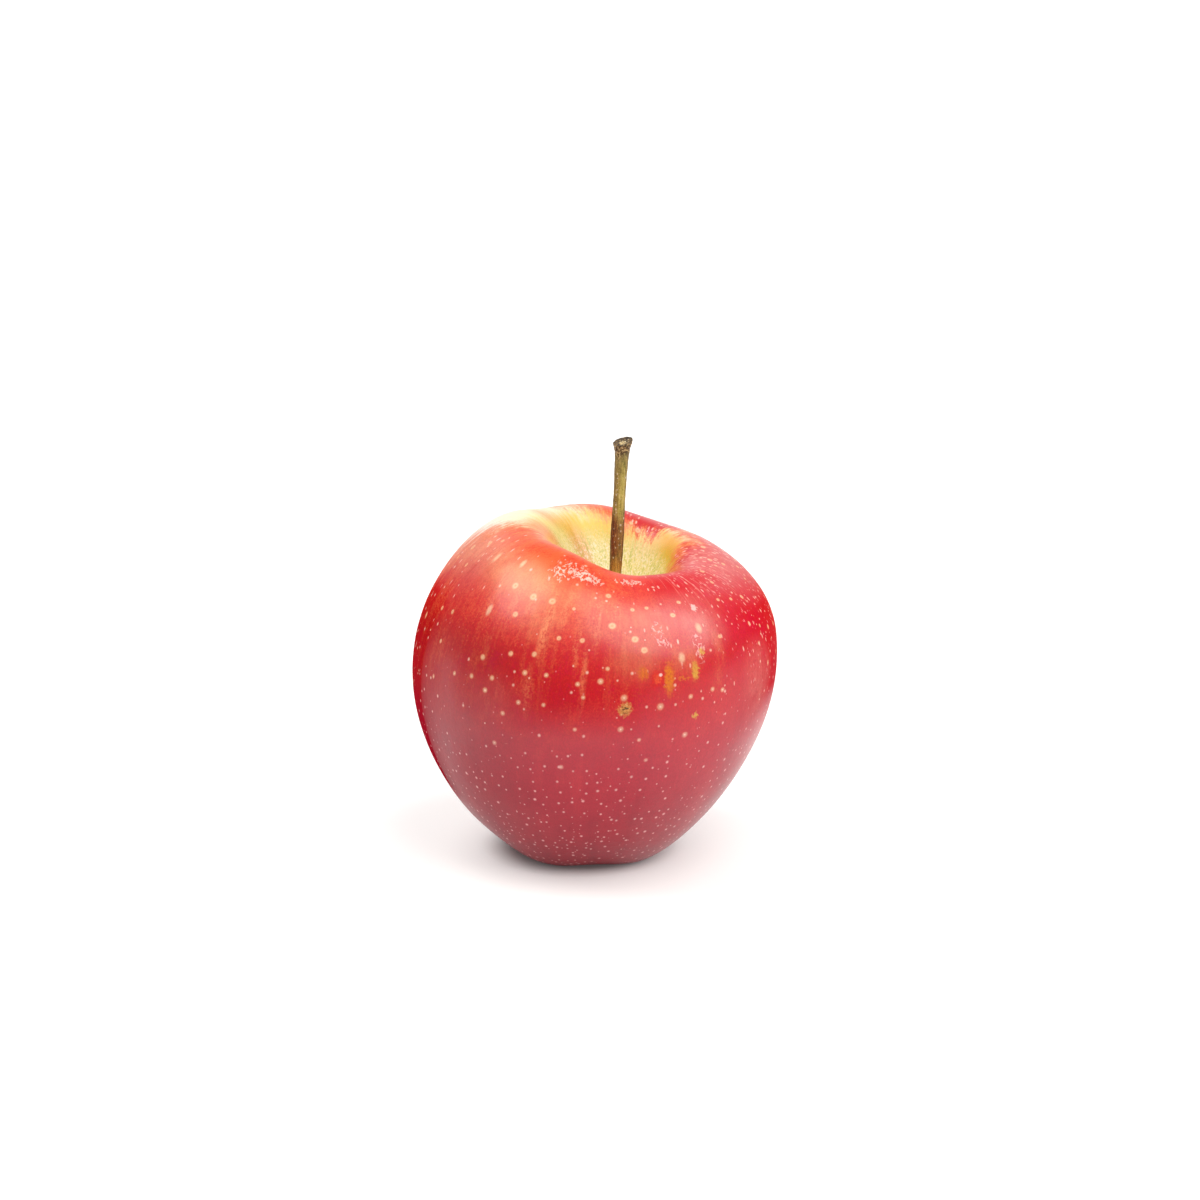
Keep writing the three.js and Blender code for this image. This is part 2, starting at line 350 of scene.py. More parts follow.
class Nodes:
    """A node tree that is written as sums of fields."""

    def __init__(self, tree):
        self.tree = tree

    def feed(self, socket, value):
        if isinstance(value, Field):
            self.tree.links.new(value.socket, socket)
        elif value is not None:
            socket.default_value = value

    def node(self, kind, inputs, output=0, **settings):
        made = self.tree.nodes.new("ShaderNode" + kind)
        for name, value in settings.items():
            setattr(made, name, value)
        for socket, value in inputs.items():
            self.feed(made.inputs[socket], value)
        return made if output is None else Field(self, made.outputs[output])

    def math(self, operation, a, b=None, clamp=False):
        return self.node("Math", {0: a, 1: b}, operation=operation, use_clamp=clamp)

    def clamp(self, value):
        return self.math("ADD", value, 0, clamp=True)

    def highest(self, a, b):
        return self.math("MAXIMUM", a, b)

    def step(self, value, low, high, to_low=0, to_high=1):
        """A smooth step between two levels of a field."""
        inputs = {"Value": value, "From Min": low, "From Max": high, "To Min": to_low, "To Max": to_high}
        return self.node("MapRange", inputs, interpolation_type="SMOOTHSTEP")

    def band(self, value, middle, width, flat=0):
        """1 where a field is at the middle, or so near as to be flat, down to 0 a width to each side."""
        return self.step(self.math("ABSOLUTE", value - middle), width, flat)

    def mix(self, factor, a, b, blend="MIX"):
        return self.node("Mix", {0: factor, 6: a, 7: b}, 2, data_type="RGBA", blend_type=blend)

    def vector(self, x, y, z):
        return self.node("CombineXYZ", {0: x, 1: y, 2: z})

    def split(self, vector):
        made = self.node("SeparateXYZ", {0: vector}, None)
        return [Field(self, output) for output in made.outputs]

    def across(self, operation, a, b):
        """Vector arithmetic."""
        return self.node("VectorMath", {0: a, 1: b}, operation=operation)

    def stretch(self, vector, scale):
        return self.across("MULTIPLY", vector, scale)

    def distance(self, a, b):
        return self.node("VectorMath", {0: a, 1: b}, "Value", operation="DISTANCE")

    def noise(self, place, size, detail=2, roughness=0.5, distortion=0, seed=0):
        """Noise from 0 to 1, with lumps of about that size."""
        place = self.across("ADD", place, (seed * 31.7, seed * 12.9, seed * 23.3))
        inputs = {"Vector": place, "Scale": 1 / size, "Detail": detail, "Roughness": roughness,
                  "Distortion": distortion}
        return self.node("TexNoise", inputs, noise_dimensions="3D")

    def cells(self, place, size, seed=0, flat=False, evenness=0):
        """Cells of about that size: the distance from a cell's point, its place, and three chances."""
        shift = (seed * 41.3, seed * 7.7, seed * 19.1)
        inputs = {"Vector": self.across("ADD", place, shift), "Scale": 1 / size, "Randomness": 1 - evenness}
        made = self.node("TexVoronoi", inputs, None, voronoi_dimensions="2D" if flat else "3D")
        away, colour_of, centre = (Field(self, made.outputs[n]) for n in ("Distance", "Color", "Position"))
        return away * size, self.across("SUBTRACT", centre, shift), self.split(colour_of)

    def curve(self, value, points):
        """A smooth curve through points from 0 to 1."""
        made = self.node("FloatCurve", {"Value": value}, None)
        line = made.mapping.curves[0]
        line.points[0].location = points[0]
        line.points[1].location = points[-1]
        for point in points[1:-1]:
            line.points.new(*point)
        made.mapping.update()
        return Field(self, made.outputs[0])

    def ramp(self, value, stops):
        """A smooth row of colours, as (level, hex code)."""
        made = self.node("ValToRGB", {"Fac": value}, None)
        made.color_ramp.interpolation = "EASE"
        elements = made.color_ramp.elements
        while len(elements) < len(stops):
            elements.new(0.5)
        for element, (level, code) in zip(elements, stops):
            element.position = level
            element.color = colour(code)
        return Field(self, made.outputs[0])

    def uv(self, name):
        return self.split(self.node("UVMap", {}, uv_map=name))[:2]

    def place(self):
        """The place on the piece, in millimetres of the row's frame."""
        return self.stretch(self.node("TexCoord", {}, "Object"), (1000, 1000, 1000))


class Shader(Nodes):
    """A material, with values of its surface's sockets."""

    def __init__(self, name, **values):
        self.material = bpy.data.materials.new(name)
        self.material.use_nodes = True
        super().__init__(self.material.node_tree)
        self.set(**values)

    def set(self, **values):
        """Gives sockets of the surface a value or a field. A blank in a name is written as an underscore."""
        sockets = self.tree.nodes["Principled BSDF"].inputs
        for name, value in values.items():
            self.feed(sockets[name.replace("_", " ")], value)

    def finish(self, base, roughness, height):
        """Links the pattern to the surface. The height is in millimetres."""
        bump = self.node("Bump", {"Height": height, "Distance": 0.001, "Strength": 1})
        self.set(Base_Color=base, Roughness=roughness, Normal=bump)
        return self.material


# ======== Skin ========

# Tables by bearing are (bearing, level), once round from the back, and end at the first level.
# Where the red gives way to the cavity's yellow, as a share.
YELLOW_EDGE = [
    (90, 0.738), (100, 0.722), (108, 0.7), (124, 0.68), (135, 0.65), (150, 0.618), (165, 0.612),
    (175, 0.625), (181, 0.645), (188, 0.674), (193, 0.698), (199, 0.732), (206, 0.742), (218, 0.768),
    (240, 0.785), (270, 0.79), (300, 0.785), (330, 0.778), (350, 0.77), (362, 0.756), (370, 0.735),
    (380, 0.706), (390, 0.694), (400, 0.708), (411, 0.744), (418, 0.746), (434, 0.75), (443, 0.748),
]
# Where that edge is more ragged.
RAGGED = [(90, 0), (170, 0.2), (200, 0.9), (250, 1), (285, 0.4), (320, 0)]
# How orange the upper red is, and how much more so the crest's outer side.
WARMTH = [
    (90, 0.38), (135, 0.5), (180, 0.45), (206, 0.42), (220, 0.62), (232, 0.76), (246, 0.82), (264, 0.78),
    (282, 0.58), (300, 0.3), (315, 0.2), (328, 0.2), (345, 0.16), (380, 0.35), (415, 0.2), (436, 0.1),
]
FLUSH = [
    (90, 0.2), (150, 0.2), (185, 0.3), (205, 0.42), (222, 0.34), (238, 0.22), (252, 0.08), (270, 0),
    (300, 0), (360, 0),
]
# How much the lower part is darkened, most on the left side: painted shade.
PAINTED_LOW_SHADE = [
    (90, 0.5), (150, 0.7), (200, 0.8), (226, 0.85), (240, 0.6), (258, 0.2), (275, 0.05), (300, 0),
    (340, 0.05), (380, 0.2),
]
# Where the cavity's wall is streaked with red and orange, and where its left side is paler: its own cream,
# with painted light on the side that faces away from the lights.
CAVITY_SIDE = [
    (90, 0.1), (135, 0), (200, 0), (270, 0.3), (330, 0.8), (370, 1), (400, 0.85), (412, 0.5), (424, 0.2),
]
WALL_CREAM_AND_PAINTED_LIGHT = [(90, 0), (124, 0.1), (140, 0.5), (158, 0.9), (200, 0.8), (225, 0)]
# Where the skin has dashes and pale hairlines.
SHOULDER = [
    (90, 0.3), (180, 0.3), (215, 0.2), (250, 0), (285, 0.08), (303, 0.5), (322, 0.8), (342, 1),
    (380, 0.95), (420, 0.4),
]
# Where the matt bloom hasn't been rubbed off: on the sides above a lower edge, at the girth, and below it.
BLOOM = [
    (90, 0.8), (150, 1), (182, 1), (193, 0.98), (200, 0.84), (207, 0.62), (214, 0.33), (222, 0.1),
    (232, 0), (300, 0), (322, 0.4), (338, 0.88), (380, 0.88),
]
BLOOM_LOW_EDGE = [
    (90, 0.38), (200, 0.34), (260, 0.36), (300, 0.42), (325, 0.45), (345, 0.45), (380, 0.42),
]
GIRTH_BLOOM = [
    (90, 0), (205, 0), (218, 0.26), (238, 0.5), (255, 0.78), (275, 0.72), (288, 0.32), (302, 0.2),
    (325, 0.05), (340, 0),
]
LOW_BLOOM = [(90, 0.6), (195, 1), (225, 0.95), (245, 0.78), (262, 0.76), (285, 0.53), (305, 0), (380, 0)]

# Patches: bearing and share of the middle, half sizes across and along in millimetres, mostly a strength.
# A warm peach patch under the upper left highlight: partly the skin's own orange and partly painted
# highlight.
PEACH_AND_HIGHLIGHT = [(-123, 0.615, 10, 5.5, 0.4)]
PALE_STREAKS = [
    (-109.2, 0.583, 0.75, 5.5, 0.75), (-110.2, 0.56, 0.5, 3, 0.5), (-91.6, 0.59, 0.7, 5.5, 0.6),
    (-94.6, 0.528, 0.55, 5.5, 0.48), (-97.5, 0.552, 0.45, 4, 0.35), (-111.4, 0.51, 1, 4, 0.38),
    (-104, 0.603, 0.7, 4, 0.45), (-117, 0.612, 0.8, 4.5, 0.5), (-124, 0.6, 0.7, 4.5, 0.4),
    (-134, 0.605, 1, 4, 0.3), (-47.5, 0.545, 0.9, 4, 0.28), (-50, 0.516, 0.9, 2.5, 0.22),
    (-84, 0.6, 0.8, 4.5, 0.3), (-128, 0.545, 0.6, 3.5, 0.25),
]
# Painted highlights and sheen on the red, as pale patches where the softboxes and the white room shine, some
# over pale scuffs, and blushes on the yellow, by colour.
PAINTED_SHEEN = {
    "#f2b0a4": [
        (-50.5, 0.573, 4.2, 4.6, 0.29), (-58, 0.603, 7, 4.5, 0.18), (-28, 0.495, 5, 7, 0.24),
        (-7, 0.695, 4, 2.5, 0.2), (2, 0.655, 6.5, 6, 0.22), (-121, 0.497, 6, 4, 0.08),
        (-160, 0.632, 7, 7, 0.28),
    ],
    "#f4b07c": [
        (-75, 0.583, 5, 4, 0.24), (-92, 0.583, 4, 3.2, 0.15), (-78, 0.543, 4.5, 4, 0.26),
        (-61, 0.538, 3, 3, 0.2), (-111, 0.583, 4, 4, 0.26), (-137, 0.636, 8, 3.4, 0.4),
        (-173, 0.628, 7, 5, 0.4),
    ],
}
LIP_BLUSH = {
    "#ec8c4e": [
        (131, 0.785, 1.9, 4.5, 0.75), (128, 0.822, 1.2, 3, 0.75), (148, 0.715, 2.6, 3, 0.75),
        (191, 0.724, 2.1, 2.6, 1.2), (186, 0.745, 2.3, 3.2, 1.2), (180, 0.768, 2.3, 3.2, 1.2),
    ],
    "#fce6d0": [(58, 0.766, 4, 3, 0.5)],
}
ORANGE_LIP = [(-126, 0.674, 10.5, 4.4, 0.85), (-101, 0.645, 6, 3, 0.8), (60, 0.708, 7.5, 3, 0.6)]
DULL_LIP = [(-119, 0.671, 13, 5, 0.65), (-48, 0.66, 11, 4.5, 0.7), (-86, 0.655, 8, 3.5, 0.45)]
SCARF_SKIN = [
    (-107, 0.655, 4.6, 3), (-98, 0.648, 3.4, 1.9), (-77, 0.66, 3.6, 1.5), (-113, 0.64, 2.6, 2.2),
]
SCUFFS = [(-69.5, 0.578, 1.4, 2.4), (-68, 0.562, 1.6, 1.6), (-55.5, 0.552, 1.5, 4.2)]
LONG_SPOTS = [
    (-53.5, 0.574, 0.62, 1.15, 0.66), (-62.5, 0.542, 0.62, 1, 0.66), (-133.5, 0.577, 0.55, 1, 0.66),
    (-149, 0.63, 0.5, 1.1, 0.66), (-132, 0.638, 0.45, 0.9, 0.66),
]
GREENISH_SPOTS = [
    (-55, 0.545, 0.5, 0.9, 0.85), (-58.2, 0.526, 0.75, 1.9, 0.85), (-58, 0.481, 0.6, 0.65, 0.85),
]
ORANGE_SPOTS = [
    (-67.2, 0.522, 1, 3.3, 0.92), (-75.5, 0.529, 0.95, 1.4, 0.6), (-62.2, 0.52, 1.4, 0.3, 0.6),
]
BRIGHT_SPOT = [(-71, 0.522, 1.4, 1.7, 0.7)]
BRIGHT_MIDDLE = [(-71, 0.522, 0.7, 1, 0.6)]
PALE_DOT = [(-70, 0.526, 0.35, 0.35, 0.9)]
HEALED_CUT = (-51.5, 0.603, 0.6, 1.1)
RUSSET_SPOT = (-81, 0.494, 1.3, 1.4)
RUSSET_MIDDLE = (-81, 0.494, 0.85, 0.95)

# Lenticels that stand out on the front: bearing, share and radius in millimetres.
RINGS = [
    (-128, 0.609, 0.6), (-118, 0.603, 0.62), (-110, 0.603, 0.6), (-122, 0.58, 0.5), (-86, 0.583, 0.62),
    (-88, 0.625, 0.5), (-101, 0.599, 0.3), (-104, 0.564, 0.38), (-96, 0.564, 0.42), (-119, 0.542, 0.42),
    (-111, 0.545, 0.45), (-113, 0.526, 0.45), (-106, 0.526, 0.38), (-96, 0.519, 0.4), (-89, 0.522, 0.5),
    (-87, 0.535, 0.36), (-94, 0.506, 0.36), (-114, 0.497, 0.4), (-106, 0.497, 0.36), (-126, 0.503, 0.45),
    (-124, 0.516, 0.45), (-132, 0.513, 0.42), (-140, 0.51, 0.38), (-119, 0.484, 0.42), (-129, 0.533, 0.5),
    (-160, 0.558, 0.35), (-152, 0.561, 0.38), (-152, 0.532, 0.35), (-78, 0.567, 0.62), (-75, 0.554, 0.58),
    (-70, 0.494, 0.58), (-46, 0.558, 0.42), (-36, 0.606, 0.4), (-28, 0.599, 0.4), (-78, 0.606, 0.38),
    (-72, 0.609, 0.35), (-62, 0.596, 0.48), (-57, 0.615, 0.4), (-52, 0.503, 0.42), (-48, 0.5, 0.4),
    (-60, 0.5, 0.42), (-26, 0.532, 0.35), (-61, 0.462, 0.5), (-82, 0.474, 0.5), (-81.5, 0.505, 0.6),
    (-122, 0.452, 0.42), (-96, 0.474, 0.36), (-76, 0.462, 0.34), (-73, 0.439, 0.36), (-100, 0.433, 0.42),
    (65, 0.734, 0.5), (72, 0.722, 0.35),
]
# The others are scattered in cells: size of a cell, least and greatest radius, stretch along, and seed.
LENTICELS = {
    "large": (4.6, 0.26, 0.42, 1.3, 5),
    "small": (3.1, 0.17, 0.34, 1.1, 6),
    "tiny": (2.1, 0.09, 0.17, 1.2, 9),
    "dash": (1.9, 0.08, 0.21, 2.8, 7),
    "thin dash": (1.35, 0.05, 0.11, 3.4, 21),
}
NARROWEST = 0.3  # radius of the skin, as a part of the girth's, down to which the seam cuts no lenticel

SHEET = TURN * GIRTH  # width of the conformal map of the skin, in millimetres at the girth
COAT = 0.14  # weight of the waxy coat where no bloom dulls it


def turn_at(bearing):
    return (bearing - 90) % 360 / 360


def on_sheet(bearing, share):
    """A place on the conformal map, and the map's scale there."""
    points, shares, conformal = fruit_section()
    place = (turn_at(bearing) * SHEET, np.interp(share, shares, conformal) * GIRTH, 0)
    return place, np.interp(share, shares, points[:, 0]) / GIRTH


class Skin(Shader):
    """The skin's shader, with the patterns that its layers share."""

    def __init__(self):
        super().__init__("apple_skin", Specular_IOR_Level=0.5, Coat_Weight=COAT, Coat_Roughness=0.16)
        self.turn, conformal = self.uv("skin")
        self.share, self.fine = self.uv("section")
        x, y = (self.math(part, self.turn * TURN) * GIRTH for part in ("COSINE", "SINE"))
        self.sheet = self.vector(self.turn * SHEET, conformal * SHEET, 0)
        self.barrel = self.vector(x, y, conformal * SHEET)
        self.spot = self.place()
        self.broad = self.streaky(0.05, 5.5, 3, 0.6, seed=1) - 0.5
        self.thin = self.streaky(0.09, 1.5, 4, 0.65, seed=2) - 0.5
        self.fleck = self.streaky(0.3, 0.75, 3, 0.7, seed=14) - 0.5
        self.grain = self.noise(self.spot, 0.5, 3, 0.7, seed=3) - 0.5
        self.cloud = self.noise(self.spot, 13, 3, 0.55, seed=4) - 0.5
        self.mottle = self.noise(self.spot, 3.2, 3, 0.6, seed=12) - 0.5
        self.warm = self.by_bearing(WARMTH)
        self.side = self.by_bearing(CAVITY_SIDE)
        self.low = self.step(self.share + self.mottle * 0.02, 0.54, 0.42)
        self.basin = self.step(self.share + self.thin * 0.09 + self.broad * 0.06, 0.15, 0.07)
        self.into = self.depth_in_yellow()
        self.on_red = self.step(self.into, 0, -0.05) * (1 - self.basin)

    def streaky(self, squeeze, *settings, seed):
        """Noise that is drawn out along the meridians."""
        return self.noise(self.stretch(self.barrel, (1, 1, squeeze)), *settings, seed=seed)

    def by_bearing(self, levels):
        points = [((bearing - 90) / 360, level) for bearing, level in levels]
        return self.curve(self.turn, points + [(1, levels[0][1])])

    def patch(self, bearing, share, across, along, soft=0.35, source=None):
        middle, scale = on_sheet(bearing, share)
        offset = self.across("SUBTRACT", source or self.sheet, middle)
        scaled = self.stretch(offset, (scale / across, scale / along, 1))
        return self.step(self.distance(scaled, (0, 0, 0)), 1 + soft, 1 - soft)

    def dab(self, base, code, marks, soft, factor=1, source=None, blend="MIX"):
        """A colour with patches over it, each with its strength."""
        for *mark, strength in marks:
            base = base.tint(self.patch(*mark, soft, source) * factor * strength, code, blend)
        return base

    def depth_in_yellow(self):
        """How far a place is past the streaky edge of the cavity's yellow, as a share."""
        rays = self.streaky(0.07, 2, 4, 0.65, 0.3, seed=17) - 0.5
        into = self.share - self.by_bearing(YELLOW_EDGE) + self.thin * 0.09 + self.broad * 0.06
        into = into + (self.grain + self.fleck) * 0.05 + (rays * 0.13 + self.mottle * 0.12) * self.side
        into = into + self.by_bearing(RAGGED) * (rays * 0.16 + self.fleck * 0.06 + self.mottle * 0.06)
        return into * (1 + self.band(self.turn, turn_at(58), 0.09) * 1.2)  # sharper on the far side


def red_ground(s):
    """Orange-red at the upper front left, crimson at the right, and a darker red on the lower half, which
    painted shade darkens further towards the bottom and on the left.
    """
    high = s.step(s.share, 0.53, 0.635)
    flushed = s.by_bearing(FLUSH) * s.step(s.share, 0.6, 0.66)
    crimson = s.band(s.turn, turn_at(-33), 0.1) * s.band(s.share, 0.545, 0.07) * 0.15
    uneven = s.cloud * 0.45 + s.broad * 0.6 * high + s.mottle * 0.5 + s.grain * 0.75 + s.fleck * 0.3
    warmth = s.clamp(0.27 - crimson + (s.warm - 0.27) * high + flushed + (s.warm * 0.7 + 0.45) * uneven)
    red = s.ramp(warmth, [
        (0, "#cf1434"), (0.28, "#cd1a20"), (0.5, "#d83326"), (0.7, "#e04a2c"), (0.85, "#e76238"),
        (1, "#ec7a46")])
    uneven = s.clamp(0.5 + s.cloud * 0.9 + s.broad * 0.9 + s.mottle * 0.4 + s.fleck * 0.5)
    red = red.tint(s.low * 0.85, s.ramp(uneven, [(0.2, "#b21532"), (0.5, "#bf1a36"), (0.8, "#cb263b")]))
    # Painted shade: a grey darkening of the lower part, most on the left side.
    painted_shade = s.by_bearing(PAINTED_LOW_SHADE) * s.step(s.share, 0.58, 0.53) * s.step(s.share, 0.2, 0.46, 0.6, 1)
    red = red.tint(painted_shade, "#dad8d8", "MULTIPLY")
    # Painted shade: darker towards the bottom.
    return red.tint(s.step(s.share, 0.5, 0.26), "#d4c6cc", "MULTIPLY")


def streak_red(s, red):
    """Streaks on the red, painted highlights and sheen over it, and its more orange lip."""
    lines = s.streaky(0.06, 2.1, 3, 0.6, seed=15) + s.noise(s.barrel, 8, 2, seed=16) * 0.5
    streaks = s.step(lines + s.fleck * 0.3 + s.grain * 0.9, 0.7, 1.05) * s.band(s.share, 0.57, 0.12)
    red = red.tint(streaks * s.step(s.warm, 0.12, 0.4) * 0.28, "#ec7a48")
    broken = s.step(s.fleck * 0.9 + s.grain * 1.1 + s.mottle * 0.5 + s.thin * 0.5, -0.25, 0.22)
    bent = s.across("ADD", s.sheet, s.vector(s.noise(s.sheet, 6, 1, seed=20) * 1.6 - 0.8, 0, 0))
    red = s.dab(red, "#f08a5c", PALE_STREAKS, 0.95, broken, bent)
    uneven = s.clamp(0.75 + s.mottle * 1.2 + s.fleck * 0.8 + s.thin * 0.8)
    # Painted highlights and sheen: pale patches where the lights shine on the skin.
    for code, marks in PAINTED_SHEEN.items():
        red = s.dab(red, code, marks, 0.8, uneven)
    ruddy = s.step(lines * -1 + s.mottle * 0.1 + s.fleck * 0.25, -0.62, -0.44) * s.band(s.share, 0.56, 0.14)
    red = red.tint(ruddy * 0.4, "#c3101c")
    # Peach over the upper left highlight: partly the skin's own orange and partly painted highlight.
    red = s.dab(red, "#f4a062", PEACH_AND_HIGHLIGHT, 0.9, s.step(s.share, 0.58, 0.62))
    return s.dab(red, "#f4b49e", ORANGE_LIP, 0.8, blend="MULTIPLY")


def cavity_yellow(s):
    """Cream at the lip and yellow below it, with greenish and creamy grain on the wall, and painted light on
    the wall's shaded left side.
    """
    yellow = s.ramp(s.share + s.mottle * 0.02 + s.thin * 0.06, [
        (0.62, "#fceee0"), (0.69, "#f7e3c0"), (0.75, "#e8c42c"), (0.81, "#f4e096"), (0.86, "#f0e2a4"),
        (0.94, "#ddd998"), (1, "#b4ba70")])
    # Paler on the wall's left side, which faces away from the lights: its own cream and painted light.
    yellow = yellow.tint(s.by_bearing(WALL_CREAM_AND_PAINTED_LIGHT) * s.band(s.share, 0.79, 0.12) * 0.75, "#fbe8a4")
    yellow = yellow.tint(s.side * s.band(s.share, 0.73, 0.06) * 0.85, "#e29c3a")
    uneven = s.clamp(0.7 + s.grain + s.thin)
    for code, marks in LIP_BLUSH.items():
        yellow = s.dab(yellow, code, marks, 0.9, uneven)
    greenish = s.step(s.fleck + s.thin + s.grain * 0.8, 0, 0.2) * s.step(s.share, 0.72, 0.8)
    yellow = yellow.tint(greenish * 0.72, "#bcbe50")
    creamy = s.step(s.grain * -1.2 - s.fleck - s.thin * 0.4, 0, 0.2) * s.step(s.share, 0.74, 0.82)
    return yellow.tint(creamy * 0.8, "#fbf1da")


def scattered(s, kind, chance_kept, edge_width=0.45):
    """Lenticels in cells: the way to the nearest in radii, where it is kept, its dot and its tone."""
    cell, small, large, stretch, seed = LENTICELS[kind]
    place = s.stretch(s.sheet, (1, 1 / stretch, 1))
    away, centre, (chance, size, tone) = s.cells(place, cell, seed, flat=True, evenness=0.15)
    away = away * s.fine / (small + size * (large - small))
    from_middle = s.math("ABSOLUTE", s.split(centre)[0] - SHEET / 2)
    inside = s.math("LESS_THAN", from_middle, SHEET / 2 - large / NARROWEST)
    kept = s.math("LESS_THAN", chance, chance_kept) * inside * s.on_red
    return away, kept, s.step(away, 1 + edge_width, 1 - edge_width) * kept, tone


def add_lenticels(s, base):
    """Large and sparse ones on the upper half, small and dense ones below, and dashes on the right shoulder.

    Gives the colour with them, and their height in millimetres.
    """
    def by_half(above, below):
        return s.mix(s.low, colour(above), colour(below))

    front = s.band(s.turn, turn_at(-90), 0.2, 0.15) * s.step(s.share, 0.42, 0.46)
    below_lip = s.step(s.share, 0.7, 0.64)
    spread = s.step(s.share, 0.42, 0.54, 0, 0.5) * below_lip * (1 - front)
    away, kept, _, _ = scattered(s, "large", spread)
    away = away + (1 - kept) * 9
    for bearing, share, radius in RINGS:
        middle, scale = on_sheet(bearing, share)
        away = s.math("MINIMUM", away, s.distance(s.sheet, middle) * (scale / radius))
    away = away + s.grain * 0.4 + s.mottle * 0.5
    upper = s.step(s.share, 0.51, 0.56)
    large = s.step(away, 1.5, 0.6)
    pit = s.step(away, 0.72, 0.3) * upper
    base = base.tint(s.step(away, 2, 0.7) * 0.35, by_half("#ee8660", "#dd6a66"))
    base = base.tint(large * (0.5 + upper * 0.15), by_half("#f7d2a2", "#efaea0"))
    base = base.tint(pit * 0.6, "#df8450")
    base = base.tint(s.step(away, 0.5, 0.15) * (1 - upper) * 0.7, "#fae2c8")

    spread = s.step(s.share, 0.6, 0.46, 0.3, 0.8) * below_lip * (1 - front * 0.7)
    away, kept, small, tone = scattered(s, "small", spread * s.step(s.share, 0.18, 0.38, 0.4, 1))
    base = base.tint(small * (0.36 + tone * 0.36), by_half("#f2b698", "#ec9898"))
    base = base.tint(s.step(away * 1.8, 1.45, 0.55) * kept * 0.52, "#f9cfca")
    spread = s.step(s.share, 0.6, 0.4, 0.05, 0.42) * s.step(s.share, 0.2, 0.36, 0.25, 1)
    _, _, tiny, _ = scattered(s, "tiny", spread)
    base = base.tint(tiny * 0.48, "#ee9a98")

    shoulder = s.by_bearing(SHOULDER)
    _, _, dash, tone = scattered(s, "dash", s.step(s.share, 0.46, 0.58) * shoulder * 0.85)
    base = base.tint(dash * (0.35 + tone * 0.6), "#fabfae")
    spread = s.step(s.share, 0.44, 0.52) * s.step(shoulder, 0.3, 1) * 0.75
    _, _, dash, tone = scattered(s, "thin dash", spread, 0.6)
    base = base.tint(dash * (0.2 + tone * 0.6), "#f6b2ac")
    hairline = s.step(s.streaky(0.05, 0.7, 3, 0.6, seed=18), 0.56, 0.68) * s.step(s.into, 0.02, -0.02)
    base = base.tint(hairline * shoulder * s.band(s.share, 0.66, 0.1) * 0.55, "#f7a898")
    return base, large * 0.012 - pit * 0.008 + small * 0.005


def add_marks(s, base):
    """Gives the colour with the marks, the healed cut's scar and the russet spot."""
    wobble = s.node("TexNoise", {"Vector": s.spot, "Scale": 1.7, "Detail": 3}, "Color")
    wobble = s.stretch(s.across("SUBTRACT", wobble, (0.5, 0.5, 0.5)), (2.2, 2.2, 0))
    wobbled = s.across("ADD", s.sheet, wobble)
    curl = s.math("ABSOLUTE", s.streaky(0.7, 1.7, 2, 0.55, 0.6, seed=8) - 0.5)
    curls = s.step(curl, 0.085, 0.04)
    fine_curls = s.step(curl, 0.045, 0.015)
    broken = s.streaky(0.7, 1.1, 2, 0.5, seed=13)
    for mark in SCARF_SKIN:
        flecks = curls * s.step(broken * (0.35 + s.patch(*mark, soft=0.6) * 0.75), 0.435, 0.535)
        base = base.tint(flecks * s.step(s.patch(*mark, soft=0.75), 0, 0.2) * 0.66, "#fbd0c0")
    for mark in SCUFFS:
        flecks = fine_curls * s.step(broken * s.patch(*mark, soft=0.8), 0.25, 0.45)
        base = base.tint(flecks * 0.6, "#f4c2bc")
    base = s.dab(base, "#d81a10", BRIGHT_SPOT, 0.35, 1, wobbled)
    base = s.dab(base, "#ee5a30", BRIGHT_MIDDLE, 0.5, 1, wobbled)
    ragged = s.step(s.fleck + s.grain * 0.9, -0.2, 0.04) * 0.5 + 0.5
    base = s.dab(base, "#e07a10", ORANGE_SPOTS, 0.5, ragged, wobbled)
    base = s.dab(base, "#dca83c", GREENISH_SPOTS, 0.5, ragged, wobbled)
    base = s.dab(base, "#f2cba4", LONG_SPOTS, 0.6, 1, s.mix(0.15, s.sheet, wobbled))
    base = s.dab(base, "#f8cfc4", PALE_DOT, 0.4)
    scar = s.patch(*HEALED_CUT, soft=0.2, source=wobbled)
    base = base.tint(scar * 0.8, "#f2c4bc")
    russet = s.patch(*RUSSET_SPOT, soft=0.3, source=wobbled)
    base = base.tint(russet * 0.72, "#d69a4e")
    specks = s.noise(s.spot, 0.5, 2, 0.6, seed=9)
    base = base.tint(s.step(specks, 0.45, 0.36) * russet * 0.6, "#ecc890")
    base = base.tint(s.step(specks, 0.53, 0.6) * s.patch(*RUSSET_MIDDLE, soft=0.5) * 0.85, "#4a3a26")
    return base, scar, russet


def matt_bloom(s):
    """Where the bloom is left, and how thick."""
    above_edge = s.step(s.share - s.by_bearing(BLOOM_LOW_EDGE), -0.03, 0.03)
    bloom = s.clamp(s.by_bearing(BLOOM) * 1.1) * above_edge * s.step(s.share, 0.64, 0.56)
    bloom = s.highest(bloom, s.by_bearing(LOW_BLOOM) * s.step(s.share, 0.48, 0.39) * 0.46)
    bloom = s.highest(bloom, s.by_bearing(GIRTH_BLOOM) * s.band(s.share, 0.505, 0.05))
    bloom = s.highest(bloom, s.side * s.step(s.share, 0.69, 0.73) * 0.5)
    for *mark, strength in DULL_LIP:
        bloom = s.highest(bloom, s.patch(*mark, soft=0.8) * strength)
    return bloom


